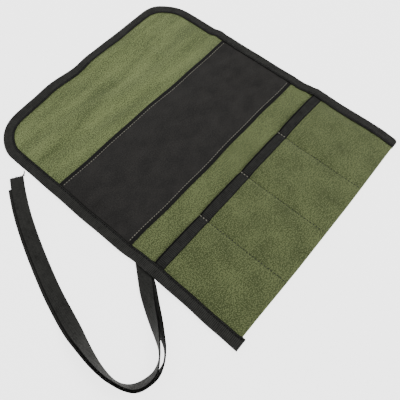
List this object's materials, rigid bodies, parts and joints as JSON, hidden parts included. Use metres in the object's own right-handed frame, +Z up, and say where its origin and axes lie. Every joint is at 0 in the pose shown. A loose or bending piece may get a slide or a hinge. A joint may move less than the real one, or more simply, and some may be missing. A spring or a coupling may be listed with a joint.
{
  "type": "carving tool roll",
  "caption": "Canvas tool roll laid open: a row of pockets with a taped mouth, a leather-look middle panel, a round-cornered flap, taped edges and two tape ties.",
  "frame": {"origin": "middle of the open roll's footprint, on the surface it lies on", "axes": "+X across the pockets, away from the ties; +Y from the pocket fold to the flap's end; +Z up, out of the inner face"},
  "size_m": [0.403, 0.364, 0.0142],
  "materials": {
    "canvas": "matte",
    "panel_leather": "satin",
    "woven_tape": "matte",
    "thread": "matte"
  },
  "bodies": {
    "column_1": {"canvas_back_1": "canvas", "canvas_fold_1": "canvas", "pocket_front_1": "canvas", "pocket_front_1_left": "canvas", "pocket_front_1_right": "canvas", "pocket_mouth_tape_1": "woven_tape", "panel_lower_1": "panel_leather", "panel_stitch_lower_1": "thread", "pocket_seam_1": "thread", "edge_tape_left": "woven_tape", "tie_anchor": "woven_tape", "tie_tail_upper": "woven_tape", "tie_tail_lower": "woven_tape"},
    "column_2": {"canvas_back_2": "canvas", "canvas_fold_2": "canvas", "pocket_front_2": "canvas", "pocket_front_2_left": "canvas", "pocket_front_2_right": "canvas", "pocket_mouth_tape_2": "woven_tape", "panel_lower_2": "panel_leather", "panel_stitch_lower_2": "thread", "pocket_seam_2": "thread"},
    "column_3": {"canvas_back_3": "canvas", "canvas_fold_3": "canvas", "pocket_front_3": "canvas", "pocket_front_3_left": "canvas", "pocket_front_3_right": "canvas", "pocket_mouth_tape_3": "woven_tape", "panel_lower_3": "panel_leather", "panel_stitch_lower_3": "thread", "pocket_seam_3": "thread"},
    "column_4": {"canvas_back_4": "canvas", "canvas_fold_4": "canvas", "pocket_front_4": "canvas", "pocket_front_4_left": "canvas", "pocket_front_4_right": "canvas", "pocket_mouth_tape_4": "woven_tape", "panel_lower_4": "panel_leather", "panel_stitch_lower_4": "thread", "edge_tape_right": "woven_tape"},
    "flap_1": {"canvas_flap_1": "canvas", "panel_upper_1": "panel_leather", "panel_stitch_upper_1": "thread", "flap_edge_tape_1": "woven_tape"},
    "flap_2": {"canvas_flap_2": "canvas", "panel_upper_2": "panel_leather", "panel_stitch_upper_2": "thread", "flap_edge_tape_2": "woven_tape"},
    "flap_3": {"canvas_flap_3": "canvas", "panel_upper_3": "panel_leather", "panel_stitch_upper_3": "thread", "flap_edge_tape_3": "woven_tape"},
    "flap_4": {"canvas_flap_4": "canvas", "panel_upper_4": "panel_leather", "panel_stitch_upper_4": "thread", "flap_edge_tape_4": "woven_tape"}
  },
  "joints": [
    {"name": "roll_1", "type": "hinge", "parent": "column_1", "child": "column_2", "pos_m": [-0.07, 0, 0.0022], "axis": [0, -1, 0], "range_deg": [0, 80]},
    {"name": "roll_2", "type": "hinge", "parent": "column_2", "child": "column_3", "pos_m": [0, 0, 0.0022], "axis": [0, -1, 0], "range_deg": [0, 80]},
    {"name": "roll_3", "type": "hinge", "parent": "column_3", "child": "column_4", "pos_m": [0.07, 0, 0.0022], "axis": [0, -1, 0], "range_deg": [0, 80]},
    {"name": "flap_fold_1", "type": "hinge", "parent": "column_1", "child": "flap_1", "pos_m": [-0.105, 0.0155, 0.00655], "axis": [1, 0, 0], "range_deg": [0, 179.5]},
    {"name": "flap_fold_2", "type": "hinge", "parent": "column_2", "child": "flap_2", "pos_m": [-0.035, 0.0155, 0.00655], "axis": [1, 0, 0], "range_deg": [0, 179.5]},
    {"name": "flap_fold_3", "type": "hinge", "parent": "column_3", "child": "flap_3", "pos_m": [0.035, 0.0155, 0.00655], "axis": [1, 0, 0], "range_deg": [0, 179.5]},
    {"name": "flap_fold_4", "type": "hinge", "parent": "column_4", "child": "flap_4", "pos_m": [0.105, 0.0155, 0.00655], "axis": [1, 0, 0], "range_deg": [0, 179.5]}
  ],
  "couplings": [
    {"joint": "flap_fold_2", "follows": "flap_fold_1", "ratio": 1},
    {"joint": "flap_fold_3", "follows": "flap_fold_1", "ratio": 1},
    {"joint": "flap_fold_4", "follows": "flap_fold_1", "ratio": 1}
  ]
}
